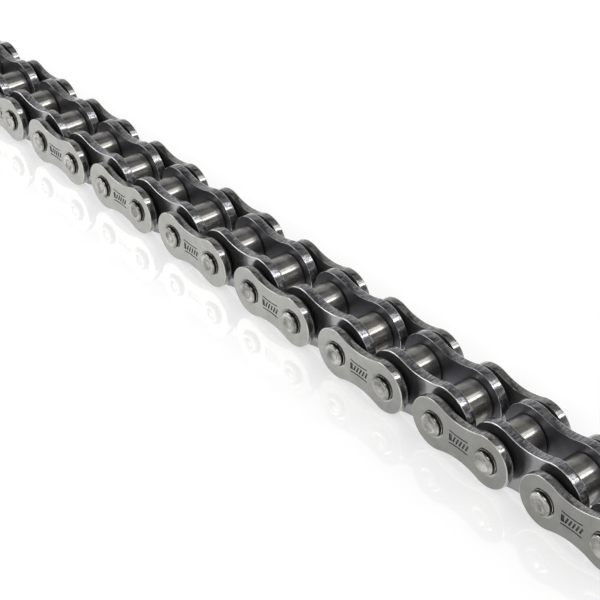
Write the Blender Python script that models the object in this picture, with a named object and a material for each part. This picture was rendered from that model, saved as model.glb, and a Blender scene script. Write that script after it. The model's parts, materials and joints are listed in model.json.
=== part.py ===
"""A length of sealed roller chain, 15.875 mm (5/8 inch) pitch, standing straight on its plates' edges.

The chain runs along X and the pins lie along Y, with the plates in upright planes. Inner links (two
plates pressed on two bushes, each bush carrying a free roller) and outer links (two plates riveted on
two pins) take turns, with an inner link at each end. A pin turns inside a bush, so every link folds on
its neighbour about a pin axis. Rings seal the gap between the inner and the outer plates.

The origin is on the ground below the middle of the chain. Each link hangs from an empty on the pin that
joins it to its neighbour nearer the middle, and that empty from the neighbour's, so turning an empty
about its Y axis folds the chain there and carries the rest of that half along.
"""

import math

import bmesh
import bpy
from mathutils import Vector

MM = 0.001

# Driving dimensions
LINKS = 19  # odd, so that the middle link is an outer one and both ends are inner links
PITCH = 15.875 * MM  # from pin axis to pin axis
INNER_WIDTH = 7.0 * MM  # between the two plates of an inner link
INNER_PLATE_THICKNESS = 2.3 * MM
OUTER_PLATE_THICKNESS = 1.85 * MM
SEAL_GAP = 1.7 * MM  # between an inner plate and the outer plate beside it
PIN_DIAMETER = 5.24 * MM
PIN_OVERHANG = 0.9 * MM  # how far a riveted head stands out of the outer plate
PIN_HEAD_SPREAD = 0.30 * MM  # how much wider a head's root is than its pin, in radius
PIN_HEAD_TAPER = 0.28 * MM  # how much the head draws in towards its end, in radius
BUSH_WALL = 0.85 * MM
ROLLER_DIAMETER = 10.16 * MM
RING_INSET = 1.2 * MM  # how far a sealing ring's rim lies within the outer plate's round end
PLATE_END_GAP = 1.1 * MM  # between the round ends of two inner plates in a row
OUTER_PLATE_STEP = 1.1 * MM  # how far the inner plates stand above and below the outer ones
INNER_WAIST_DEPTH = 1.35 * MM  # how far a plate draws in halfway between its holes
OUTER_WAIST_DEPTH = 1.5 * MM

# Clearances
RUNNING = 0.10 * MM  # all round a pin in its bush and a bush in its roller
PRESSED = 0.08 * MM  # the joint line of a pressed or riveted fit
ROLLER_SIDE = 0.15 * MM  # between a roller's end and the plate beside it
RING_SIDE = 0.15 * MM  # between a sealing ring and the inner plate it wipes
HEAD_SEAT = 0.08 * MM  # below a riveted head, on the plate it holds

# Facets
ARC_STEP = math.radians(18)  # along a plate's round end: flats that touch its true circle, one at the bottom
WAIST_STEPS = 3
BORE_SIDES = 12  # of pins, bushes and their bores
ROLLER_SIDES = 16
SMOOTH_BELOW = math.radians(35)


def around(radius, gap, sides):
    """The corner radius of a bore with this many flat sides that clears a round piece by the gap."""
    return (radius + gap) / math.cos(math.pi / sides)


# Across the chain: half widths, measured from its middle plane
INNER_FACE = INNER_WIDTH / 2
INNER_OUTSIDE = INNER_FACE + INNER_PLATE_THICKNESS
OUTER_INSIDE = INNER_OUTSIDE + SEAL_GAP
OUTER_FACE = OUTER_INSIDE + OUTER_PLATE_THICKNESS
PIN_END = OUTER_FACE + PIN_OVERHANG

# Round pieces, from the pin outwards
PIN_RADIUS = PIN_DIAMETER / 2
BUSH_BORE = around(PIN_RADIUS, RUNNING, BORE_SIDES)
BUSH_RADIUS = BUSH_BORE + BUSH_WALL
ROLLER_BORE = around(BUSH_RADIUS, RUNNING, ROLLER_SIDES)
ROLLER_RADIUS = ROLLER_DIAMETER / 2
HEAD_RADIUS = PIN_RADIUS + PIN_HEAD_SPREAD
HEAD_END_RADIUS = HEAD_RADIUS - PIN_HEAD_TAPER

# Plates
INNER_END_RADIUS = (PITCH - PLATE_END_GAP) / 2
OUTER_END_RADIUS = INNER_END_RADIUS - OUTER_PLATE_STEP
RING_RADIUS = OUTER_END_RADIUS - RING_INSET
AXIS_HEIGHT = INNER_END_RADIUS  # the bottom flats lie on the ground


def steel(name, colour, roughness):
    """A bare steel Principled material."""
    material = bpy.data.materials.new(name)
    material.use_nodes = True
    shader = material.node_tree.nodes["Principled BSDF"]
    shader.inputs["Base Color"].default_value = (*colour, 1.0)
    shader.inputs["Metallic"].default_value = 1.0
    shader.inputs["Roughness"].default_value = roughness
    return material


def plate_outline(end_radius, waist_depth):
    """(x, z) points round a waisted plate whose holes are at x = 0 and x = PITCH.

    Each waist is an arc that touches both round ends, centred off the plate beside its middle.
    """
    waist = end_radius - waist_depth
    waist_radius = ((PITCH / 2) ** 2 + waist**2 - end_radius**2) / (2 * waist_depth)
    centre_height = waist + waist_radius
    touch = math.atan2(centre_height, PITCH / 2)  # where the arcs meet, seen from a hole's centre
    corner_radius = end_radius / math.cos(ARC_STEP / 2)
    corners = [ARC_STEP * (i + 0.5) for i in range(round(math.tau / ARC_STEP))]
    on_end = [(end_radius, touch)]
    on_end += [(corner_radius, a) for a in corners if touch < a < math.tau - touch]
    on_end.append((end_radius, math.tau - touch))
    left = [(r * math.cos(a), r * math.sin(a)) for r, a in on_end]
    right = [(PITCH - x, -z) for x, z in left]

    spread = math.pi - 2 * touch
    turns = [touch + spread * (1 - i / WAIST_STEPS) for i in range(1, WAIST_STEPS)]
    below = [
        (PITCH / 2 + waist_radius * math.cos(a), waist_radius * math.sin(a) - centre_height)
        for a in turns
    ]
    above = [(PITCH - x, -z) for x, z in below]
    return left + below + right + above


def circle(mesh, x, radius, y, sides):
    """A loop of vertices about the Y axis through x, with a flat side at the bottom."""
    turn = math.tau / sides
    angles = [turn * (i + 0.5) for i in range(sides)]
    return [mesh.verts.new((x + radius * math.cos(a), y, radius * math.sin(a))) for a in angles]


def edges_round(mesh, loop):
    """The edges of a loop, made where no wall has made them yet."""
    pairs = zip(loop, loop[1:] + loop[:1])
    return [mesh.edges.get(pair) or mesh.edges.new(pair) for pair in pairs]


def skin(mesh, loop, following):
    """Quads between two loops with the same number of vertices."""
    for i in range(len(loop)):
        mesh.faces.new((loop[i - 1], loop[i], following[i], following[i - 1]))


def turned(mesh, x, profile, sides):
    """Walls through the (radius, y) points of a profile turned about x; returns all its loops."""
    loops = [circle(mesh, x, radius, y, sides) for radius, y in profile]
    for loop, following in zip(loops, loops[1:]):
        skin(mesh, loop, following)
    return loops


def finished(mesh, name, material):
    """Turns a closed bmesh into mesh data, with its round stretches shaded smooth."""
    bmesh.ops.recalc_face_normals(mesh, faces=mesh.faces)
    data = bpy.data.meshes.new(name)
    mesh.to_mesh(data)
    mesh.free()
    data.shade_smooth()
    data.set_sharp_from_angle(angle=SMOOTH_BELOW)
    data.materials.append(material)
    return data


def plate(name, material, outline, outside, inside, capped=False):
    """A plate with turned work at both of its holes, whose outline is a list of (x, z) points.

    outside and inside are (radius, y) profiles that start on the plate's two faces, which so give the
    faces their y. Capped, each profile ends in a disc, as a pin does. Otherwise a bore joins their ends.
    """
    mesh = bmesh.new()
    sides = (outside, inside)
    rims = [[mesh.verts.new((x, profile[0][1], z)) for x, z in outline] for profile in sides]
    skin(mesh, *rims)
    borders = [edges_round(mesh, rim) for rim in rims]
    for x in (0, PITCH):
        ends = []
        for border, profile in zip(borders, sides):
            loops = turned(mesh, x, profile, BORE_SIDES)
            border += edges_round(mesh, loops[0])
            ends.append(loops[-1])
        if capped:
            for end in ends:
                mesh.faces.new(end)
        else:
            skin(mesh, *ends)
    for border in borders:
        bmesh.ops.triangle_fill(mesh, use_beauty=True, edges=border)
    return finished(mesh, name, material)


def bushed_plate(material):
    """The front plate of an inner link, with both bushes pressed into it."""
    return plate(
        "inner_plate_bushed",
        material,
        plate_outline(INNER_END_RADIUS, INNER_WAIST_DEPTH),
        outside=[(BUSH_BORE, -INNER_OUTSIDE)],
        inside=[(BUSH_RADIUS, -INNER_FACE), (BUSH_RADIUS, INNER_OUTSIDE), (BUSH_BORE, INNER_OUTSIDE)],
    )


def inner_plate(material):
    """The back plate of an inner link, pressed over the bushes' ends."""
    hole = BUSH_RADIUS + PRESSED
    return plate(
        "inner_plate_plain",
        material,
        plate_outline(INNER_END_RADIUS, INNER_WAIST_DEPTH),
        outside=[(hole, INNER_OUTSIDE)],
        inside=[(hole, INNER_FACE)],
    )


def pinned_plate(material):
    """The front plate of an outer link, with both pins riveted in it and a seal round each pin."""
    seal_end = -INNER_OUTSIDE - RING_SIDE
    back_head = OUTER_FACE + HEAD_SEAT
    return plate(
        "outer_plate_pinned",
        material,
        plate_outline(OUTER_END_RADIUS, OUTER_WAIST_DEPTH),
        outside=[(HEAD_RADIUS, -OUTER_FACE), (HEAD_END_RADIUS, -PIN_END)],
        inside=[
            (RING_RADIUS, -OUTER_INSIDE),
            (RING_RADIUS, seal_end),
            (PIN_RADIUS, seal_end),
            (PIN_RADIUS, back_head),
            (HEAD_RADIUS, back_head),
            (HEAD_END_RADIUS, PIN_END),
        ],
        capped=True,
    )


def outer_plate(material):
    """The back plate of an outer link, under the pins' riveted heads, with a seal round each hole."""
    hole = PIN_RADIUS + PRESSED
    seal_end = INNER_OUTSIDE + RING_SIDE
    return plate(
        "outer_plate_plain",
        material,
        plate_outline(OUTER_END_RADIUS, OUTER_WAIST_DEPTH),
        outside=[(hole, OUTER_FACE)],
        inside=[(RING_RADIUS, OUTER_INSIDE), (RING_RADIUS, seal_end), (hole, seal_end)],
    )


def roller(material):
    """A plain tube that turns on its bush between the inner plates."""
    mesh = bmesh.new()
    end = INNER_FACE - ROLLER_SIDE
    section = [(ROLLER_RADIUS, -end), (ROLLER_RADIUS, end), (ROLLER_BORE, end), (ROLLER_BORE, -end)]
    loops = turned(mesh, 0, section, ROLLER_SIDES)
    skin(mesh, loops[-1], loops[0])
    return finished(mesh, "roller", material)


def pin_axis(station):
    """World place of the pin at this station, counted along the chain from its left end."""
    return Vector(((station - LINKS / 2) * PITCH, 0, AXIS_HEIGHT))


def standing(empty):
    """Where an empty stands in the world, given that none of the empties above it is turned."""
    place = Vector()
    while empty:
        place += empty.location
        empty = empty.parent
    return place


def pivot(name, place, parent=None):
    """An empty that carries a link, at a world place, hung from the neighbouring link's empty."""
    empty = bpy.data.objects.new(name, None)
    empty.empty_display_type = "SINGLE_ARROW"
    empty.empty_display_size = PITCH
    empty.location = place - standing(parent)
    empty.parent = parent
    bpy.context.scene.collection.objects.link(empty)
    return empty


def add(name, data, place, carrier):
    """One piece of the chain, at a world place, carried by its link's empty."""
    piece = bpy.data.objects.new(name, data)
    piece.location = place - standing(carrier)
    piece.parent = carrier
    bpy.context.scene.collection.objects.link(piece)


def inner_link(number, station, carrier, shapes):
    add(f"inner_plate_{number:02d}_bushed", shapes["bushed plate"], pin_axis(station), carrier)
    add(f"inner_plate_{number:02d}_plain", shapes["inner plate"], pin_axis(station), carrier)
    for letter, pin in (("a", station), ("b", station + 1)):
        add(f"roller_{number:02d}_{letter}", shapes["roller"], pin_axis(pin), carrier)


def outer_link(number, station, carrier, shapes):
    add(f"outer_plate_{number:02d}_pinned", shapes["pinned plate"], pin_axis(station), carrier)
    add(f"outer_plate_{number:02d}_plain", shapes["outer plate"], pin_axis(station), carrier)


def chain():
    outer_steel = steel("outer_plate_steel", (0.62, 0.61, 0.57), 0.32)
    inner_steel = steel("inner_plate_steel", (0.42, 0.42, 0.43), 0.34)
    roller_steel = steel("roller_steel", (0.55, 0.53, 0.50), 0.18)
    shapes = {
        "bushed plate": bushed_plate(inner_steel),
        "inner plate": inner_plate(inner_steel),
        "pinned plate": pinned_plate(outer_steel),
        "outer plate": outer_plate(outer_steel),
        "roller": roller(roller_steel),
    }

    # From the middle link outwards, so that each link's neighbour nearer the middle is there to carry it
    middle = LINKS // 2
    carriers = {}
    for link in sorted(range(LINKS), key=lambda link: abs(link - middle)):
        if link == middle:
            carriers[link] = pivot("chain_root", (pin_axis(link) + pin_axis(link + 1)) / 2)
        else:
            inwards, pin = (link - 1, link) if link > middle else (link + 1, link + 1)
            carriers[link] = pivot(f"pin_axis_{pin:02d}", pin_axis(pin), carriers[inwards])
        make = outer_link if link % 2 else inner_link
        make(link // 2 + 1, link, carriers[link], shapes)


for old in list(bpy.data.objects):
    bpy.data.objects.remove(old)
chain()
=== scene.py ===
# %% [markdown]
# # A sealed roller chain
#
# A roller chain is two kinds of link in turn. An inner link is two plates pressed on two
# bushes, with a free roller on each bush. An outer link is two plates riveted on two pins, and
# a rubber ring round each pin keeps the grease in. This lesson makes every one of those pieces
# once, finishes it, and then sets copies of it along the chain, each on the link that carries
# it.

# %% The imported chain
import json
import math

import bmesh
import bpy
from mathutils import Matrix, Quaternion, Vector


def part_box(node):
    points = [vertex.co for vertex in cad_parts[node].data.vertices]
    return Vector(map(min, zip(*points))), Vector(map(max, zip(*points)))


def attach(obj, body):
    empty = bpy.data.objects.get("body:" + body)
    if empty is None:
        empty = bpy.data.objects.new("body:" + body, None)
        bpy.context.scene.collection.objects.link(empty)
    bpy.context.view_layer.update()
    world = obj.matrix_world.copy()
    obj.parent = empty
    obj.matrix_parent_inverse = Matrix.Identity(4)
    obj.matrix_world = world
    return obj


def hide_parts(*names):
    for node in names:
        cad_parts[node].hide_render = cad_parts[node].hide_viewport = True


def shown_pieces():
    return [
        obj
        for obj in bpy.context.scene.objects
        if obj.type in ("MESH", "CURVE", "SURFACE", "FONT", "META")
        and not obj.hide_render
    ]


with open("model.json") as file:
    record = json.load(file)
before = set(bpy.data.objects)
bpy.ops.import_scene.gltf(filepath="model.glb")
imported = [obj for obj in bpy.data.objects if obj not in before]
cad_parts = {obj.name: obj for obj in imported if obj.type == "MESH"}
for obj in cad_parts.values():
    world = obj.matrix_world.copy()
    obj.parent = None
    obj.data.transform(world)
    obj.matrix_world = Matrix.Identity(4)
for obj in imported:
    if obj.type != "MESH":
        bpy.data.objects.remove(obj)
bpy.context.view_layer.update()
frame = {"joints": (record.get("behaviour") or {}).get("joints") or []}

# %% [markdown]
# ## Sizes
#
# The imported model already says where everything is, so most sizes are read from its boxes and
# joints. A few can't be read from a box, such as the depth of the waist, and those are given
# here. Plates are drawn about the middle of their own link, with the pins at plus and minus
# half a pitch, and turned pieces about their own axis.

# %% Sizes from the model
MM = 0.001
folds = sorted(
    (Vector(joint["pos_m"]) for joint in frame["joints"] if joint["name"].startswith("fold_")),
    key=lambda place: place.x,
)
PITCH = (folds[-1].x - folds[0].x) / (len(folds) - 1)
AXIS_HEIGHT = folds[0].z
LINKS = len(folds) + 1

INNER_FACE, INNER_OUTSIDE = (corner.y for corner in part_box("inner_plate_05_plain"))
RING_END, OUTER_FACE = (corner.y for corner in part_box("outer_plate_05_plain"))
PIN_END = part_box("outer_plate_05_pinned")[1].y
ROLLER_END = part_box("roller_05_a")[1].y
INNER_END_RADIUS = AXIS_HEIGHT
OUTER_END_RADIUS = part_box("outer_plate_05_plain")[1].z - AXIS_HEIGHT
print("links:", LINKS, "pitch in mm:", round(PITCH / MM, 3))

# %% Sizes that a box doesn't show
OUTER_THICKNESS = 1.85 * MM
OUTER_INSIDE = OUTER_FACE - OUTER_THICKNESS
INNER_WAIST_DEPTH = 1.35 * MM
OUTER_WAIST_DEPTH = 1.5 * MM
PIN_RADIUS = 2.62 * MM
HEAD_RADIUS = 2.92 * MM
HEAD_END_RADIUS = 2.72 * MM
BUSH_BORE_RADIUS = 2.72 * MM
BUSH_RADIUS = 3.67 * MM
ROLLER_BORE_RADIUS = 3.77 * MM
ROLLER_RADIUS = 5.08 * MM
RING_RADIUS = OUTER_END_RADIUS - 1.2 * MM
print("outer plate in mm:", round(2 * (PITCH / 2 + OUTER_END_RADIUS) / MM, 2), "long")

# %% [markdown]
# ## Nodes with little typing
#
# Every finish below is a node tree. A small helper makes a node and sets its plain values, and
# another makes a node group with named sockets, so that one effect can serve several steels
# with its own values in each.

# %% Node helpers
def add_node(tree, kind, values=None, **settings):
    """A node with these socket values and these settings."""
    made = tree.nodes.new(kind)
    for key, value in settings.items():
        setattr(made, key, value)
    for key, value in (values or {}).items():
        made.inputs[key].default_value = value
    return made


def new_group(name, inputs, outputs):
    """An empty shader node group and its two end nodes; an input is (name, kind, value)."""
    tree = bpy.data.node_groups.new(name, "ShaderNodeTree")
    for title, kind, value in inputs:
        socket = tree.interface.new_socket(
            title, in_out="INPUT", socket_type="NodeSocket" + kind
        )
        socket.default_value = value
    for title, kind in outputs:
        tree.interface.new_socket(title, in_out="OUTPUT", socket_type="NodeSocket" + kind)
    return tree, tree.nodes.new("NodeGroupInput"), tree.nodes.new("NodeGroupOutput")


def feed(tree, socket, source):
    """Links a socket to another one, or gives it a plain number or colour."""
    if isinstance(source, (int, float, tuple)):
        socket.default_value = source
    else:
        tree.links.new(source, socket)


# The Mix node has a set of sockets for each kind of data; these are the ones for colours.
FACTOR, FIRST_COLOUR, SECOND_COLOUR, MIXED_COLOUR = 0, 6, 7, 2


def blend_colours(tree, factor, first, second):
    """Mixes two colours, each a socket or a plain colour, and returns the mix's socket."""
    mix = add_node(tree, "ShaderNodeMix", data_type="RGBA")
    tree.links.new(factor, mix.inputs[FACTOR])
    feed(tree, mix.inputs[FIRST_COLOUR], first)
    feed(tree, mix.inputs[SECOND_COLOUR], second)
    return mix.outputs[MIXED_COLOUR]


def spread_value(tree, factor, low, high):
    """Stretches a 0 to 1 socket between two ends, each a socket or a number."""
    stretch = add_node(tree, "ShaderNodeMapRange")
    tree.links.new(factor, stretch.inputs["Value"])
    feed(tree, stretch.inputs["To Min"], low)
    feed(tree, stretch.inputs["To Max"], high)
    return stretch.outputs["Result"]


def contrast(tree, socket, low, high):
    """Cuts a socket off below low and above high, and stretches the rest to 0 to 1."""
    cut = add_node(tree, "ShaderNodeMapRange", {"From Min": low, "From Max": high})
    tree.links.new(socket, cut.inputs["Value"])
    return cut.outputs["Result"]


def finish_inputs(light, dark, glossy, dull):
    """The four inputs of a finish: two grey tones, and the ends of its roughness range."""
    return [
        ("Light", "Color", (light, light, light, 1)),
        ("Dark", "Color", (dark, dark, dark, 1)),
        ("Glossy", "Float", glossy),
        ("Dull", "Float", dull),
    ]


FINISH_OUTPUTS = [("Color", "Color"), ("Roughness", "Float"), ("Height", "Float")]
print("node helpers ready")

# %% [markdown]
# ## Tumbled steel
#
# Stamped plates go into a rotating drum with small stones, which takes the burrs off and leaves
# a soft, even, slightly cloudy surface with very fine pits. Three noises of different sizes
# make it: wide clouds vary the tone, middling ones the gloss, and the finest one dents the
# surface. A single noise would look like one printed pattern, because real wear happens at
# several sizes at once. Object coordinates are in metres, so a noise with a scale of 230 has
# clouds about 4 mm across, and one with 5200 has grain of 0.2 mm.

# %% The tumbled group
tumbled, ends_in, ends_out = new_group(
    "tumbled steel", finish_inputs(0.6, 0.4, 0.25, 0.4), FINISH_OUTPUTS
)
place = add_node(tumbled, "ShaderNodeTexCoord")
clouds = add_node(
    tumbled, "ShaderNodeTexNoise", {"Scale": 230.0, "Detail": 5.0, "Roughness": 0.62}
)
smears = add_node(tumbled, "ShaderNodeTexNoise", {"Scale": 900.0, "Detail": 3.0})
grain = add_node(tumbled, "ShaderNodeTexNoise", {"Scale": 5200.0, "Detail": 2.0})
for noise in (clouds, smears, grain):
    tumbled.links.new(place.outputs["Object"], noise.inputs["Vector"])
cloudy = contrast(tumbled, clouds.outputs["Fac"], 0.32, 0.68)
smeared = contrast(tumbled, smears.outputs["Fac"], 0.3, 0.7)
tumbled.links.new(
    blend_colours(tumbled, cloudy, ends_in.outputs["Dark"], ends_in.outputs["Light"]),
    ends_out.inputs["Color"],
)
tumbled.links.new(
    spread_value(tumbled, smeared, ends_in.outputs["Glossy"], ends_in.outputs["Dull"]),
    ends_out.inputs["Roughness"],
)
tumbled.links.new(grain.outputs["Fac"], ends_out.inputs["Height"])
print("tumbled steel group has", len(tumbled.nodes), "nodes")

# %% [markdown]
# ## Blanked edges
#
# A press cuts a plate out of sheet in one stroke. The punch shears the first part of the
# thickness smooth, and the rest breaks away and stays rough. The marks all run across the
# thickness, so the noise here is stretched along the pins. Fine speckle is added for the torn
# part's facets. Its bright side is also its glossy side, so the high spots glint and the pits
# stay dark and dull.

# %% The blanked edge group
SPECKLE_SHARE = 0.4

blanked, ends_in, ends_out = new_group(
    "blanked edge", finish_inputs(0.6, 0.2, 0.25, 0.5), FINISH_OUTPUTS
)
place = add_node(blanked, "ShaderNodeTexCoord")
stretched = add_node(blanked, "ShaderNodeMapping", {"Scale": (1.0, 0.22, 1.0)})
streaks = add_node(
    blanked, "ShaderNodeTexNoise", {"Scale": 2000.0, "Detail": 3.0, "Roughness": 0.6}
)
speckle = add_node(blanked, "ShaderNodeTexNoise", {"Scale": 3000.0, "Detail": 3.0})
blanked.links.new(place.outputs["Object"], stretched.inputs["Vector"])
blanked.links.new(stretched.outputs["Vector"], streaks.inputs["Vector"])
blanked.links.new(place.outputs["Object"], speckle.inputs["Vector"])
streak_part = add_node(blanked, "ShaderNodeMath", {1: 1 - SPECKLE_SHARE}, operation="MULTIPLY")
both = add_node(blanked, "ShaderNodeMath", {1: SPECKLE_SHARE}, operation="MULTIPLY_ADD")
blanked.links.new(streaks.outputs["Fac"], streak_part.inputs[0])
blanked.links.new(speckle.outputs["Fac"], both.inputs[0])
blanked.links.new(streak_part.outputs["Value"], both.inputs[2])
torn = contrast(blanked, both.outputs["Value"], 0.4, 0.6)
blanked.links.new(
    blend_colours(blanked, torn, ends_in.outputs["Dark"], ends_in.outputs["Light"]),
    ends_out.inputs["Color"],
)
blanked.links.new(
    spread_value(blanked, torn, ends_in.outputs["Dull"], ends_in.outputs["Glossy"]),
    ends_out.inputs["Roughness"],
)
blanked.links.new(both.outputs["Value"], ends_out.inputs["Height"])
print("blanked edge group has", len(blanked.nodes), "nodes")

# %% [markdown]
# ## Ground and turned steel
#
# Rollers, bushes and pins are turned and ground, which leaves hair-fine lines round them. Round
# a piece that lies along Y, such a line has one Y all the way, so a noise that is read only
# along Y draws them.

# %% The ground group
ground, ends_in, ends_out = new_group(
    "ground steel", finish_inputs(0.6, 0.4, 0.12, 0.3), FINISH_OUTPUTS
)
place = add_node(ground, "ShaderNodeTexCoord")
along = add_node(ground, "ShaderNodeMapping", {"Scale": (0.02, 1.0, 0.02)})
lines = add_node(
    ground, "ShaderNodeTexNoise", {"Scale": 4200.0, "Detail": 3.0, "Roughness": 0.7}
)
stains = add_node(
    ground, "ShaderNodeTexNoise", {"Scale": 320.0, "Detail": 4.0, "Roughness": 0.6}
)
ground.links.new(place.outputs["Object"], along.inputs["Vector"])
ground.links.new(along.outputs["Vector"], lines.inputs["Vector"])
ground.links.new(place.outputs["Object"], stains.inputs["Vector"])
stained = contrast(ground, stains.outputs["Fac"], 0.35, 0.7)
lined = contrast(ground, lines.outputs["Fac"], 0.3, 0.7)
ground.links.new(
    blend_colours(ground, stained, ends_in.outputs["Light"], ends_in.outputs["Dark"]),
    ends_out.inputs["Color"],
)
ground.links.new(
    spread_value(ground, lined, ends_in.outputs["Glossy"], ends_in.outputs["Dull"]),
    ends_out.inputs["Roughness"],
)
ground.links.new(lines.outputs["Fac"], ends_out.inputs["Height"])
print("ground steel group has", len(ground.nodes), "nodes")

# %% [markdown]
# ## The finishes
#
# Each steel is a Principled shader with one of the three groups in front of it. The group gives
# the tone, the gloss and the height of the fine relief. Metallic is the same all over, so it is
# set on the shader itself. It is a little under 1, because oiled and oxidised steel isn't a
# clean mirror: the rest of the shader adds some plain grey, which keeps the deep gaps from
# going black. A plate's inside face is its dullest, since it rubs against nothing; if it were
# as bright as the outside, it would show a mirror image of the roller beside it. The inner
# plates' insides are also painted darker and bluer than their outsides: a painted shade for the
# gap between the plates.

# %% Steel materials
METALLIC = 0.9
MICRON = 1e-6


def steel(name, group, light, dark, gloss, relief):
    """A bare metal: its two tones, its roughness range, and its relief's depth in metres."""
    material = bpy.data.materials.new(name)
    material.use_nodes = True
    tree = material.node_tree
    shader = tree.nodes["Principled BSDF"]
    shader.inputs["Metallic"].default_value = METALLIC
    skin = add_node(tree, "ShaderNodeGroup", node_tree=group)
    values = {"Light": (*light, 1), "Dark": (*dark, 1), "Glossy": gloss[0], "Dull": gloss[1]}
    for key, value in values.items():
        skin.inputs[key].default_value = value
    bump = add_node(tree, "ShaderNodeBump", {"Strength": 1.0, "Distance": relief})
    tree.links.new(skin.outputs["Color"], shader.inputs["Base Color"])
    tree.links.new(skin.outputs["Roughness"], shader.inputs["Roughness"])
    tree.links.new(skin.outputs["Height"], bump.inputs["Height"])
    tree.links.new(bump.outputs["Normal"], shader.inputs["Normal"])
    return material


print("steel maker ready")

# %% Steel of the outer plates
outer_face = steel(
    "outer plate face", tumbled, light=(0.295, 0.295, 0.277), dark=(0.237, 0.237, 0.223),
    gloss=(0.11, 0.19), relief=0.8 * MICRON,
)
outer_edge = steel(
    "outer plate edge", blanked, light=(0.42, 0.41, 0.395), dark=(0.17, 0.17, 0.17),
    gloss=(0.09, 0.18), relief=3 * MICRON,
)
# The rounded rims are painted about twice as light as the face: a painted highlight for the
# bright rim lines.
outer_rim_painted_highlight = steel(
    "outer plate rim painted highlight", tumbled, light=(0.62, 0.61, 0.57), dark=(0.50, 0.49, 0.46),
    gloss=(0.14, 0.24), relief=1 * MICRON,
)
outer_inside = steel(
    "outer plate inside", tumbled, light=(0.38, 0.38, 0.38), dark=(0.31, 0.31, 0.31),
    gloss=(0.34, 0.44), relief=1 * MICRON,
)
# The stamped mark is painted near black: a painted shade for its shallow recess.
stamp_painted_shade = steel(
    "stamped mark", tumbled, light=(0.10, 0.10, 0.09), dark=(0.03, 0.03, 0.03),
    gloss=(0.40, 0.60), relief=2 * MICRON,
)
print("outer plates have", len(bpy.data.materials), "finishes")

# %% Steel of the inner plates
inner_face = steel(
    "inner plate face", tumbled, light=(0.32, 0.32, 0.325), dark=(0.26, 0.26, 0.27),
    gloss=(0.16, 0.24), relief=0.6 * MICRON,
)
inner_edge = steel(
    "inner plate edge", blanked, light=(0.42, 0.42, 0.43), dark=(0.11, 0.11, 0.12),
    gloss=(0.11, 0.26), relief=6 * MICRON,
)
# The rounded rims are painted more than twice as light as the face: a painted highlight for the
# bright rim lines.
inner_rim_painted_highlight = steel(
    "inner plate rim painted highlight", tumbled, light=(0.74, 0.74, 0.74), dark=(0.60, 0.60, 0.60),
    gloss=(0.12, 0.22), relief=1 * MICRON,
)
# Painted darker and bluer than the inner plate's face: a painted shade for the gap between the
# plates.
inner_inside_painted_shade = steel(
    "inner plate inside painted shade", tumbled, light=(0.23, 0.23, 0.255), dark=(0.17, 0.17, 0.19),
    gloss=(0.32, 0.42), relief=1 * MICRON,
)
print("with the inner plates there are", len(bpy.data.materials), "materials")

# %% [markdown]
# ## The lay of a ground surface
#
# The grinding wheel's lines run round a roller, and light spreads across them, so a highlight
# becomes a streak along the roller. Anisotropy does this in the shader. A radial tangent about
# Y says which way is round, and a quarter turn says that the spread is across it. Riveted pin
# ends are hammered, not ground: they take the tumbled finish with much deeper relief. The pins'
# sides are painted near black: a painted shade for the dark surroundings that they mirror.

# %% Steel of the pins, bushes and rollers
STREAK = 0.85
QUARTER_TURN = 0.25

pin_end = steel(
    "pin end", tumbled, light=(0.52, 0.51, 0.47), dark=(0.13, 0.13, 0.12),
    gloss=(0.12, 0.24), relief=14 * MICRON,
)
# Painted near black: a painted shade for the dark surroundings that the pin sides mirror.
pin_side_painted_shade = steel(
    "pin side painted shade", ground, light=(0.05, 0.05, 0.045), dark=(0.025, 0.025, 0.022),
    gloss=(0.12, 0.20), relief=1 * MICRON,
)
bush_skin = steel(
    "bush ground", ground, light=(0.40, 0.39, 0.37), dark=(0.28, 0.27, 0.26),
    gloss=(0.18, 0.30), relief=1 * MICRON,
)
roller_skin = steel(
    "roller ground", ground, light=(0.42, 0.405, 0.37), dark=(0.31, 0.305, 0.29),
    gloss=(0.20, 0.26), relief=0.4 * MICRON,
)
for skin in (roller_skin, bush_skin, pin_side_painted_shade):
    tree = skin.node_tree
    shader = tree.nodes["Principled BSDF"]
    lay = add_node(tree, "ShaderNodeTangent", direction_type="RADIAL", axis="Y")
    tree.links.new(lay.outputs["Tangent"], shader.inputs["Tangent"])
    shader.inputs["Anisotropic"].default_value = STREAK
    shader.inputs["Anisotropic Rotation"].default_value = QUARTER_TURN
print(len(bpy.data.materials), "materials")

# %% [markdown]
# ## Sealing rubber
#
# The rings are black nitrile rubber with a film of grease: dark, a little shiny, and faintly
# grained from the mould. It isn't a metal, so it has a shader of its own.

# %% Rubber
BLACK_RUBBER = (0.004, 0.004, 0.005, 1.0)
GREASY_RUBBER = (0.012, 0.012, 0.012, 1.0)

rubber = bpy.data.materials.new("seal rubber")
rubber.use_nodes = True
tree = rubber.node_tree
shader = tree.nodes["Principled BSDF"]
shader.inputs["Specular IOR Level"].default_value = 0.35
place = add_node(tree, "ShaderNodeTexCoord")
mould = add_node(tree, "ShaderNodeTexNoise", {"Scale": 1300.0, "Detail": 4.0})
tree.links.new(place.outputs["Object"], mould.inputs["Vector"])
grey = blend_colours(tree, mould.outputs["Fac"], BLACK_RUBBER, GREASY_RUBBER)
gloss = spread_value(tree, mould.outputs["Fac"], 0.35, 0.6)
tree.links.new(grey, shader.inputs["Base Color"])
tree.links.new(gloss, shader.inputs["Roughness"])
bump = add_node(tree, "ShaderNodeBump", {"Strength": 1.0, "Distance": 8 * MICRON})
tree.links.new(mould.outputs["Fac"], bump.inputs["Height"])
tree.links.new(bump.outputs["Normal"], shader.inputs["Normal"])
print("rubber ready")

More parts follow.
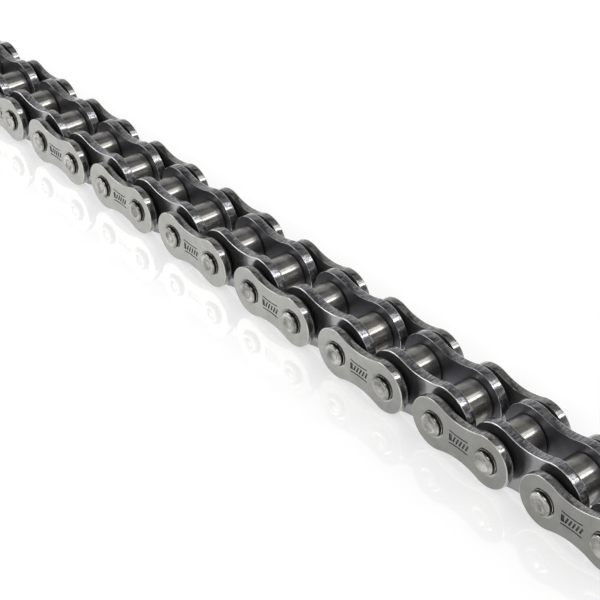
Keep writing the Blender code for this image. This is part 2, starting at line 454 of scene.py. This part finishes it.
# %% [markdown]
# ## The plate outline
#
# A plate is a figure of eight with soft waists, and it is the same in all four quarters. So one
# quarter is drawn: an arc round the hole's centre for the end, an arc bent the other way for
# the waist, and half of the hole. A spin sweeps a single vertex into each arc. Two mirrors then
# give the whole plate, with a perfect match on both sides.

# %% One flat plate
ARC_STEP = math.radians(4)
TOUCHING = 1e-6


def sweep(sheet, start, centre, angle):
    """Sweeps a vertex about the Y axis through centre, which leaves an arc; returns its end."""
    steps = max(1, math.ceil(abs(angle) / ARC_STEP))
    swept = bmesh.ops.spin(
        sheet, geom=[start], cent=centre, axis=(0, 1, 0), angle=angle, steps=steps
    )
    return swept["geom_last"][0]


def waist_circle(end_radius, waist_depth):
    """The centre height and the radius of the arc that forms a plate's upper waist."""
    waist = end_radius - waist_depth
    radius = ((PITCH / 2) ** 2 + waist**2 - end_radius**2) / (2 * waist_depth)
    return waist + radius, radius


def flat_plate(end_radius, waist_depth, hole_radius):
    """A flat sheet in a plate's outline, in the plane y = 0 about the plate's middle."""
    sheet = bmesh.new()
    hole = Vector((-PITCH / 2, 0, 0))
    height = waist_circle(end_radius, waist_depth)[0]
    touch = math.atan2(height, PITCH / 2)
    tip = sheet.verts.new(hole - Vector((end_radius, 0, 0)))
    shoulder = sweep(sheet, tip, hole, math.pi - touch)
    narrow = sweep(sheet, shoulder, (0, 0, height), touch - math.pi / 2)
    middle = sheet.verts.new((0, 0, 0))
    near = sheet.verts.new(hole + Vector((hole_radius, 0, 0)))
    far = sweep(sheet, near, hole, -math.pi)
    for pair in ((narrow, middle), (middle, near), (far, tip)):
        sheet.edges.new(pair)
    bmesh.ops.contextual_create(sheet, geom=sheet.edges[:])
    for axis in "XZ":
        everything = sheet.verts[:] + sheet.edges[:] + sheet.faces[:]
        bmesh.ops.mirror(sheet, geom=everything, axis=axis, merge_dist=TOUCHING)
    bmesh.ops.recalc_face_normals(sheet, faces=sheet.faces)
    return sheet


trial = flat_plate(OUTER_END_RADIUS, OUTER_WAIST_DEPTH, PIN_RADIUS)
print("flat plate:", len(trial.verts), "vertices,", len(trial.faces), "faces")
trial.free()

# %% [markdown]
# ## From sheet to plate
#
# The press leaves two zones on the edge: straight where it shears, and drawn in a little where
# the metal breaks. An extrusion makes the straight part, and an inset with depth makes the
# broken part, because it offsets the outline and both holes at once. Both rims are then
# rounded, the outside one more, since that is the side the punch pulls down. Flat faces keep
# flat shading by marking their borders sharp, so that the rounding doesn't bend the light
# across them. Each face of the mesh gets one of five finishes: the outside, the blanked edge,
# the rounded rims, the stamped mark and the inside.

# %% Plate helpers
FACE, EDGE, RIM, MARK, INSIDE = range(5)
BREAK_TAPER = 0.05 * MM
CREASE = math.radians(40)
STRAIGHT, DEAD_STRAIGHT = 0.999, 0.9999


def cap_faces(mesh, side):
    """The faces that look straight along Y on this side, -1 for the front."""
    return [face for face in mesh.faces if face.normal.y * side > STRAIGHT]


def border_edges(faces):
    """The edges that only one of these faces has."""
    inside = set(faces)
    found = {edge for face in faces for edge in face.edges}
    return [edge for edge in found if sum(face in inside for face in edge.link_faces) == 1]


def round_off(mesh, edges, width, segments):
    """Rounds edges and calls the new faces rim."""
    made = bmesh.ops.bevel(
        mesh, geom=edges, offset=width, offset_type="OFFSET", segments=segments,
        profile=0.5, affect="EDGES", material=-1,
    )
    for face in made["faces"]:
        face.material_index = RIM


def smooth_but_flat_caps(mesh):
    """Smooth shading that stays crisp where faces meet at an angle or a flat end begins."""
    for face in mesh.faces:
        face.smooth = True
    for edge in mesh.edges:
        if len(edge.link_faces) == 2:
            flats = [abs(face.normal.y) > DEAD_STRAIGHT for face in edge.link_faces]
            edge.smooth = flats[0] == flats[1] and edge.calc_face_angle(0) < CREASE


def finished(mesh, name, materials):
    """Mesh data from a closed bmesh, with its materials in order."""
    data = bpy.data.meshes.new(name)
    mesh.to_mesh(data)
    mesh.free()
    for material in materials:
        data.materials.append(material)
    return data


def thick_plate(sheet, outside, thickness, shear, outer_round, inner_round):
    """Thickens a flat sheet inwards from y = -outside, as the front plate of a link."""
    bmesh.ops.translate(sheet, verts=sheet.verts[:], vec=(0, -outside, 0))
    grown = bmesh.ops.extrude_face_region(sheet, geom=sheet.faces[:])["geom"]
    rear_corners = [part for part in grown if isinstance(part, bmesh.types.BMVert)]
    rear = [part for part in grown if isinstance(part, bmesh.types.BMFace)]
    bmesh.ops.translate(sheet, verts=rear_corners, vec=(0, shear, 0))
    bmesh.ops.recalc_face_normals(sheet, faces=sheet.faces)
    bmesh.ops.inset_region(
        sheet, faces=rear, thickness=BREAK_TAPER, depth=thickness - shear,
        use_even_offset=True, use_boundary=True,
    )
    sheet.normal_update()
    for face in sheet.faces:
        face.material_index = EDGE
    for side, index in ((-1, FACE), (1, INSIDE)):
        for face in cap_faces(sheet, side):
            face.material_index = index
    round_off(sheet, border_edges(cap_faces(sheet, -1)), outer_round, 3)
    round_off(sheet, border_edges(cap_faces(sheet, 1)), inner_round, 2)
    sheet.normal_update()
    return sheet


print("plate helpers ready")

# %% [markdown]
# ## Inner plates
#
# Inner plates are the taller and thicker ones. Each is pressed over the ends of two bushes.

# %% Inner plate
PRESS_LINE = 0.02 * MM

inner_steel = [inner_face, inner_edge, inner_rim_painted_highlight, stamp_painted_shade, inner_inside_painted_shade]
plate = thick_plate(
    flat_plate(INNER_END_RADIUS, INNER_WAIST_DEPTH, BUSH_RADIUS + PRESS_LINE),
    outside=INNER_OUTSIDE, thickness=INNER_OUTSIDE - INNER_FACE, shear=1.1 * MM,
    outer_round=0.22 * MM, inner_round=0.12 * MM,
)
smooth_but_flat_caps(plate)
inner_plate = finished(plate, "inner plate", inner_steel)
print("inner plate:", len(inner_plate.polygons), "faces")

# %% [markdown]
# ## Outer plates and their stamped mark
#
# Around each hole the riveting tool leaves a shallow ring. It is drawn as a band of its own in
# the flat sheet, so that its inner border can sink later. Between the holes there is a stamped
# mark. Here it is a plain pattern of two rules that follow the waists, with a block and
# slanting strokes between them. The mark is cut with a boolean, because it lies in the middle
# of a large flat face where no other operator has an edge to work from. The rules of the cutter
# are small rectangles swept about the waist's centre, in an odd number of steps: an even one
# would put a ring of corners right on the plate's middle line, and where two edges coincide a
# boolean leaves slivers. The cut's walls and floor take the cutter's own material, which is
# painted dark: a painted shade for the recess.

# %% The stamp
RULE_FROM_MIDDLE = 1.42 * MM
RULE_WIDTH = 0.30 * MM
RULE_HALF_LENGTH = 3.0 * MM
WAIST_CENTRE = waist_circle(OUTER_END_RADIUS, OUTER_WAIST_DEPTH)[0]
RULE_HALF_ANGLE = math.asin(RULE_HALF_LENGTH / WAIST_CENTRE)
RULE_STEPS = 13
STAMP_DEPTH = 0.12 * MM
STAMP_HEIGHT = 1.75 * MM
BLOCK_MIDDLE, BLOCK_WIDTH = -2.35 * MM, 0.85 * MM
STROKES, STROKE_WIDTH, STROKE_LEAN = 5, 0.46 * MM, math.radians(24)
FIRST_STROKE_MM, STROKE_STEP_MM = -1.25, 0.95


def stamp_box(stamp, x, width, lean=0.0):
    """A block of the stamp, half in and half out of the outer plate's front face."""
    place = Matrix.Translation((x, -OUTER_FACE, 0)) @ Matrix.Rotation(lean, 4, "Y")
    size = Matrix.Diagonal((width, 2 * STAMP_DEPTH, STAMP_HEIGHT, 1))
    bmesh.ops.create_cube(stamp, size=1, matrix=place @ size)


def stamp_rule(stamp, side):
    """A curved rule that follows the waist above (side 1) or below (side -1) the mark."""
    turn = Matrix.Rotation(math.pi / 2, 4, "Y")
    middle = Matrix.Translation((0, -OUTER_FACE, side * RULE_FROM_MIDDLE))
    size = Matrix.Diagonal((RULE_WIDTH / 2, STAMP_DEPTH, 1, 1))
    section = bmesh.ops.create_grid(
        stamp, x_segments=1, y_segments=1, size=1, matrix=middle @ turn @ size
    )
    centre = (0, 0, side * WAIST_CENTRE)
    start = side * RULE_HALF_ANGLE
    bmesh.ops.rotate(
        stamp, verts=section["verts"], cent=centre, matrix=Matrix.Rotation(start, 3, "Y")
    )
    face = section["verts"][0].link_faces[0]
    bmesh.ops.spin(
        stamp, geom=[face, *face.edges, *face.verts], cent=centre, axis=(0, 1, 0),
        angle=-2 * start, steps=RULE_STEPS, use_duplicate=False,
    )


stamp = bmesh.new()
for side in (1, -1):
    stamp_rule(stamp, side)
stamp_box(stamp, BLOCK_MIDDLE, BLOCK_WIDTH)
for stroke in range(STROKES):
    middle = (FIRST_STROKE_MM + STROKE_STEP_MM * stroke) * MM
    stamp_box(stamp, middle, STROKE_WIDTH, STROKE_LEAN)
bmesh.ops.recalc_face_normals(stamp, faces=stamp.faces)
for face in stamp.faces:
    face.material_index = MARK
stamp_data = finished(stamp, "stamp", [outer_face, outer_edge, outer_rim_painted_highlight, stamp_painted_shade])
print("stamp:", len(stamp_data.polygons), "faces")

# %% Outer plate
SEAT_RADIUS = 3.35 * MM
SEAT_DEPTH = 0.10 * MM
JUST_INSIDE = 0.1 * MM
JUST_OUTSIDE = 0.01 * MM


def sink_seats(mesh):
    """Lowers both holes' borders on the front face, which leaves a shallow cone round each."""
    for side in (-1, 1):
        hole = Vector((side * PITCH / 2, -OUTER_FACE, 0))
        lip = [
            corner for corner in mesh.verts
            if abs(corner.co.y - hole.y) < TOUCHING
            and (corner.co - hole).length < SEAT_RADIUS - JUST_INSIDE
        ]
        bmesh.ops.translate(mesh, verts=lip, vec=(0, SEAT_DEPTH, 0))


def ring_bands(sheet, hole_radius):
    """Draws a hole in to its real size, which leaves a band of faces round it."""
    for side in (-1, 1):
        hole = Vector((side * PITCH / 2, 0, 0))
        reach = SEAT_RADIUS + JUST_OUTSIDE
        border = [
            edge for edge in sheet.edges
            if edge.is_boundary and all((end.co - hole).length < reach for end in edge.verts)
        ]
        drawn = bmesh.ops.extrude_edge_only(sheet, edges=border)["geom"]
        corners = [part for part in drawn if isinstance(part, bmesh.types.BMVert)]
        ratio = hole_radius / SEAT_RADIUS
        bmesh.ops.scale(
            sheet, verts=corners, vec=(ratio, 1, ratio), space=Matrix.Translation(-hole)
        )
    bmesh.ops.recalc_face_normals(sheet, faces=sheet.faces)
    return sheet


outer_steel = [outer_face, outer_edge, outer_rim_painted_highlight, stamp_painted_shade, outer_inside]
wide_holed = flat_plate(OUTER_END_RADIUS, OUTER_WAIST_DEPTH, SEAT_RADIUS)
plate = thick_plate(
    ring_bands(wide_holed, PIN_RADIUS + PRESS_LINE),
    outside=OUTER_FACE, thickness=OUTER_THICKNESS, shear=0.9 * MM,
    outer_round=0.2 * MM, inner_round=0.12 * MM,
)
sink_seats(plate)
bmesh.ops.recalc_face_normals(plate, faces=plate.faces)
blank = bpy.data.objects.new("blank", finished(plate, "blank", outer_steel))
tool = bpy.data.objects.new("stamp tool", stamp_data)
for helper in (blank, tool):
    bpy.context.scene.collection.objects.link(helper)
cut = blank.modifiers.new("stamp", "BOOLEAN")
cut.operation, cut.solver, cut.object = "DIFFERENCE", "EXACT", tool
stamped = blank.evaluated_get(bpy.context.evaluated_depsgraph_get())
plate = bmesh.new()
plate.from_mesh(stamped.to_mesh())
smooth_but_flat_caps(plate)
outer_plate = finished(plate, "outer plate", outer_steel)
for helper in (blank, tool):
    bpy.data.objects.remove(helper)
print("outer plate:", len(outer_plate.polygons), "faces")

# %% [markdown]
# ## Pins, bushes, rollers and rings
#
# These are all turned pieces: half a section, spun once round the pin axis. The section's sharp
# corners are rounded after the spin, where a bevel sees the true edge loops. The riveting tool
# presses a dish into a pin's end, and the steel that it pushes aside stands round the dish as a
# lip, rolls over, and spreads into a low cone that holds the plate.

# %% Turned pieces
SHARP = math.radians(25)


def turned(name, section, closed, steps, corner_round, segments, materials, finish=None):
    """A piece turned about Y from (radius, y) corners; closed joins the last to the first."""
    lathe = bmesh.new()
    corners = [lathe.verts.new((radius, y, 0)) for radius, y in section]
    pairs = list(zip(corners, corners[1:])) + ([(corners[-1], corners[0])] if closed else [])
    edges = [lathe.edges.new(pair) for pair in pairs]
    bmesh.ops.spin(
        lathe, geom=corners + edges, cent=(0, 0, 0), axis=(0, 1, 0), angle=math.tau,
        steps=steps, use_merge=True,
    )
    bmesh.ops.remove_doubles(lathe, verts=lathe.verts[:], dist=TOUCHING)
    bmesh.ops.recalc_face_normals(lathe, faces=lathe.faces)
    sharp = [edge for edge in lathe.edges if edge.calc_face_angle(0) > SHARP]
    bmesh.ops.bevel(
        lathe, geom=sharp, offset=corner_round, offset_type="OFFSET", segments=segments,
        profile=0.5, affect="EDGES", material=-1,
    )
    if finish:
        finish(lathe)
    for face in lathe.faces:
        face.smooth = True
    return finished(lathe, name, materials)


print("turning helper ready")

# %% Pin
LIP_RADIUS = 1.7 * MM
DISH_DEPTH = 0.34 * MM
END_LOOKS_ALONG = 0.45


def end_and_side(lathe):
    """Gives faces that look roughly along Y the first material, and the rest the second."""
    lathe.normal_update()
    for face in lathe.faces:
        face.material_index = 0 if abs(face.normal.y) > END_LOOKS_ALONG else 1


half_pin = [
    # the dish, from its middle out to the lip
    (0, PIN_END - DISH_DEPTH),
    (LIP_RADIUS * 0.5, PIN_END - DISH_DEPTH),
    (LIP_RADIUS * 0.85, PIN_END - 0.06 * MM),
    (LIP_RADIUS, PIN_END),
    # the rolled shoulder
    (HEAD_END_RADIUS - 0.30 * MM, PIN_END - 0.04 * MM),
    (HEAD_END_RADIUS - 0.05 * MM, PIN_END - 0.26 * MM),
    # the low cone down to the seat, and the shank under it
    (HEAD_RADIUS - 0.06 * MM, OUTER_FACE + 0.12 * MM),
    (HEAD_RADIUS, OUTER_FACE + SEAT_DEPTH * 0.2),
    (PIN_RADIUS, OUTER_FACE - SEAT_DEPTH),
]
pin = turned(
    "pin", half_pin + [(radius, -y) for radius, y in reversed(half_pin)], closed=False,
    steps=64, corner_round=0.14 * MM, segments=3, materials=[pin_end, pin_side_painted_shade],
    finish=end_and_side,
)
print("pin:", len(pin.polygons), "faces")

# %% Bush and roller
def tube_section(bore_radius, radius, end):
    """The four corners of a plain tube's wall, from -end to end."""
    return [(bore_radius, -end), (radius, -end), (radius, end), (bore_radius, end)]


bush = turned(
    "bush", tube_section(BUSH_BORE_RADIUS, BUSH_RADIUS, INNER_OUTSIDE), closed=True,
    steps=48, corner_round=0.12 * MM, segments=2, materials=[bush_skin],
)
roller = turned(
    "roller", tube_section(ROLLER_BORE_RADIUS, ROLLER_RADIUS, ROLLER_END), closed=True,
    steps=72, corner_round=0.3 * MM, segments=3, materials=[roller_skin],
)
print("bush and roller:", [len(data.polygons) for data in (bush, roller)], "faces")

# %% Sealing ring
SECTION_RADIUS = (OUTER_INSIDE - RING_END) / 2
section_place = (RING_RADIUS - SECTION_RADIUS, -(OUTER_INSIDE + RING_END) / 2, 0)

lathe = bmesh.new()
bmesh.ops.create_circle(
    lathe, cap_ends=False, radius=SECTION_RADIUS, segments=14,
    matrix=Matrix.Translation(section_place),
)
bmesh.ops.spin(
    lathe, geom=lathe.verts[:] + lathe.edges[:], cent=(0, 0, 0), axis=(0, 1, 0),
    angle=math.tau, steps=56, use_merge=True,
)
bmesh.ops.recalc_face_normals(lathe, faces=lathe.faces)
for face in lathe.faces:
    face.smooth = True
ring = finished(lathe, "ring", [rubber])
print("ring:", len(ring.polygons), "faces")

# %% [markdown]
# ## Assembly
#
# Each piece is a copy of its shape with its place moved into the mesh, and it rides on the body
# of its own link. Back plates are the front ones turned half a turn about the upright axis, not
# mirrored, since both come out of the same press tool.

# %% Placing
HALF_TURN = Matrix.Rotation(math.pi, 4, "Z")


def set_in_place(data, name, centre, body, stands_for, turn=None):
    """Links a copy of a shape at a place in the chain and hangs it on its body."""
    own = data.copy()
    own.transform(Matrix.Translation(centre) @ (turn or Matrix.Identity(4)))
    piece = bpy.data.objects.new(name, own)
    bpy.context.scene.collection.objects.link(piece)
    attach(piece, body)
    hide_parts(stands_for)


def pin_place(station):
    """The middle of the pin axis at this station, counted from the left end of the chain."""
    return Vector(((station - LINKS / 2) * PITCH, 0, AXIS_HEIGHT))


def set_plates(data, kind, number, middle, body, front, back):
    """The two plates of a link: the front one as drawn, and the back one turned about."""
    name = f"{kind}_plate_{number:02d}"
    set_in_place(data, f"{name}_front", middle, body, front)
    set_in_place(data, f"{name}_back", middle, body, back, HALF_TURN)


def inner_link(number, station):
    """Two plates, two bushes, and two rollers that turn on bodies of their own."""
    body = f"inner_link_{number:02d}"
    front, back = f"inner_plate_{number:02d}_bushed", f"inner_plate_{number:02d}_plain"
    middle = (pin_place(station) + pin_place(station + 1)) / 2
    set_plates(inner_plate, "inner", number, middle, body, front, back)
    for letter, pin_station in (("a", station), ("b", station + 1)):
        centre = pin_place(pin_station)
        node = f"roller_{number:02d}_{letter}"
        set_in_place(bush, f"bush_{number:02d}_{letter}", centre, body, front)
        set_in_place(roller, f"{node}_shell", centre, node, node)


def outer_link(number, station):
    """Two plates, two pins, and a sealing ring on each pin at both sides."""
    body = f"outer_link_{number:02d}"
    front, back = f"outer_plate_{number:02d}_pinned", f"outer_plate_{number:02d}_plain"
    middle = (pin_place(station) + pin_place(station + 1)) / 2
    set_plates(outer_plate, "outer", number, middle, body, front, back)
    for letter, pin_station in (("a", station), ("b", station + 1)):
        centre = pin_place(pin_station)
        set_in_place(pin, f"pin_{number:02d}_{letter}", centre, body, front)
        for side, node, turn in (("front", front, None), ("back", back, HALF_TURN)):
            name = f"seal_ring_{number:02d}_{letter}_{side}"
            set_in_place(ring, name, centre, body, node, turn)


for link in range(LINKS):
    make = outer_link if link % 2 else inner_link
    make(link // 2 + 1, link)
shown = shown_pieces()
print(len(shown), "pieces,", sum(len(piece.data.polygons) for piece in shown), "faces")

# %% [markdown]
# ## Table and light
#
# The chain stands on a sheet of white acrylic lit from below, which keeps the shadows faint and
# gives a soft reflection. Bare steel shows what is around it, so the light is arranged for what
# the steel mirrors. The plates' outsides see the bright table in front of them. The rollers and
# the plates' round ends catch a long narrow soft box on the right, which makes one slim streak
# on each, and a dimmer one above it softens the streak's upper side. Two small boxes in front
# glint on rims and pin ends, and two large dim ones, above and on the left, lift the edges that
# look up. The room is bright at the horizon and dark overhead, so tops stay deep grey, and that
# draws the shapes.

# %% Table
TABLE_GLOW = 0.59
TABLE_WHITE = (0.60, 0.60, 0.60, 1)

table = bmesh.new()
bmesh.ops.create_grid(table, x_segments=1, y_segments=1, size=3.0)
acrylic = bpy.data.materials.new("white acrylic")
acrylic.use_nodes = True
tree = acrylic.node_tree
shader = tree.nodes["Principled BSDF"]
shader.inputs["Base Color"].default_value = TABLE_WHITE
shader.inputs["Roughness"].default_value = 0.06
shader.inputs["IOR"].default_value = 2.2
shader.inputs["Emission Color"].default_value = (1.0, 1.0, 1.0, 1)
shader.inputs["Emission Strength"].default_value = TABLE_GLOW
floor = bpy.data.objects.new("floor", finished(table, "floor", [acrylic]))
bpy.context.scene.collection.objects.link(floor)
print("table is", round(floor.dimensions.x, 1), "m wide")

# %% Room light
HORIZON, CEILING = 0.95, 0.05
FADE_CURVE = 2.2

world = bpy.data.worlds.new("room")
bpy.context.scene.world = world
world.use_nodes = True
tree = world.node_tree
sky = add_node(tree, "ShaderNodeTexCoord")
split = add_node(tree, "ShaderNodeSeparateXYZ")
below = add_node(tree, "ShaderNodeMapRange", {"To Min": 1.0, "To Max": 0.0})
curve = add_node(tree, "ShaderNodeMath", {1: FADE_CURVE}, operation="POWER")
fade = spread_value(tree, curve.outputs["Value"], CEILING, HORIZON)
tree.links.new(sky.outputs["Generated"], split.inputs["Vector"])
tree.links.new(split.outputs["Z"], below.inputs["Value"])
tree.links.new(below.outputs["Result"], curve.inputs[0])
tree.links.new(fade, tree.nodes["Background"].inputs["Color"])
print("room fades from", HORIZON, "to", CEILING)

# %% Soft boxes
SOFT_BOXES = (
    # name, place, the way it faces, width and height, and brightness
    ("right", (0.84, 0.70, 1.12), (-0.6, 0, -0.8), (1.9, 0.22), 5.0),
    ("upper right", (0.56, 0.70, 1.29), (-0.4, 0, -0.92), (1.9, 0.35), 1.6),
    ("above", (0.20, 0.70, 1.40), (-0.14, 0, -1.0), (1.9, 1.1), 0.22),
    ("front left", (-1.04, -0.91, 0.80), (0.65, 0.57, -0.5), (1.0, 0.5), 3.4),
    ("front", (0.48, -1.09, 1.02), (-0.3, 0.68, -0.64), (0.7, 0.35), 4.0),
    ("left", (-1.04, 0.80, 0.92), (0.651, -0.497, -0.574), (1.6, 1.1), 0.32),
)


def soft_box(name, place, facing, width, height, brightness):
    """An area light; its width is level, and brightness is its radiance."""
    lamp = bpy.data.lights.new(name, "AREA")
    lamp.shape, lamp.size, lamp.size_y = "RECTANGLE", width, height
    lamp.energy = brightness * width * height * math.pi
    box = bpy.data.objects.new(name, lamp)
    box.location = place
    box.rotation_mode = "QUATERNION"
    box.rotation_quaternion = Vector(facing).to_track_quat("-Z", "Y")
    bpy.context.scene.collection.objects.link(box)


for name, place, facing, (width, height), brightness in SOFT_BOXES:
    soft_box("soft box " + name, place, facing, width, height, brightness)
print(len(SOFT_BOXES), "soft boxes")

# %% [markdown]
# ## Camera
#
# A long lens looks along the chain from its right front, a little from above, with a slight
# roll.

# %% Camera
lens = bpy.data.cameras.new("camera")
lens.lens, lens.sensor_width = 95.2, 36.0
camera = bpy.data.objects.new("camera", lens)
camera.location = Vector((274.31, -185.71, 219.36)) * MM
aim = Vector((31.05, 0, 4.67)) * MM
roll = Quaternion((0, 0, 1), math.radians(-1.86))
camera.rotation_mode = "QUATERNION"
camera.rotation_quaternion = (aim - camera.location).to_track_quat("-Z", "Y") @ roll
lens.clip_start, lens.clip_end = 0.01, 20
bpy.context.scene.collection.objects.link(camera)
bpy.context.scene.camera = camera
bpy.context.scene.view_settings.view_transform = "Standard"
print("camera at", [round(v, 3) for v in camera.location])
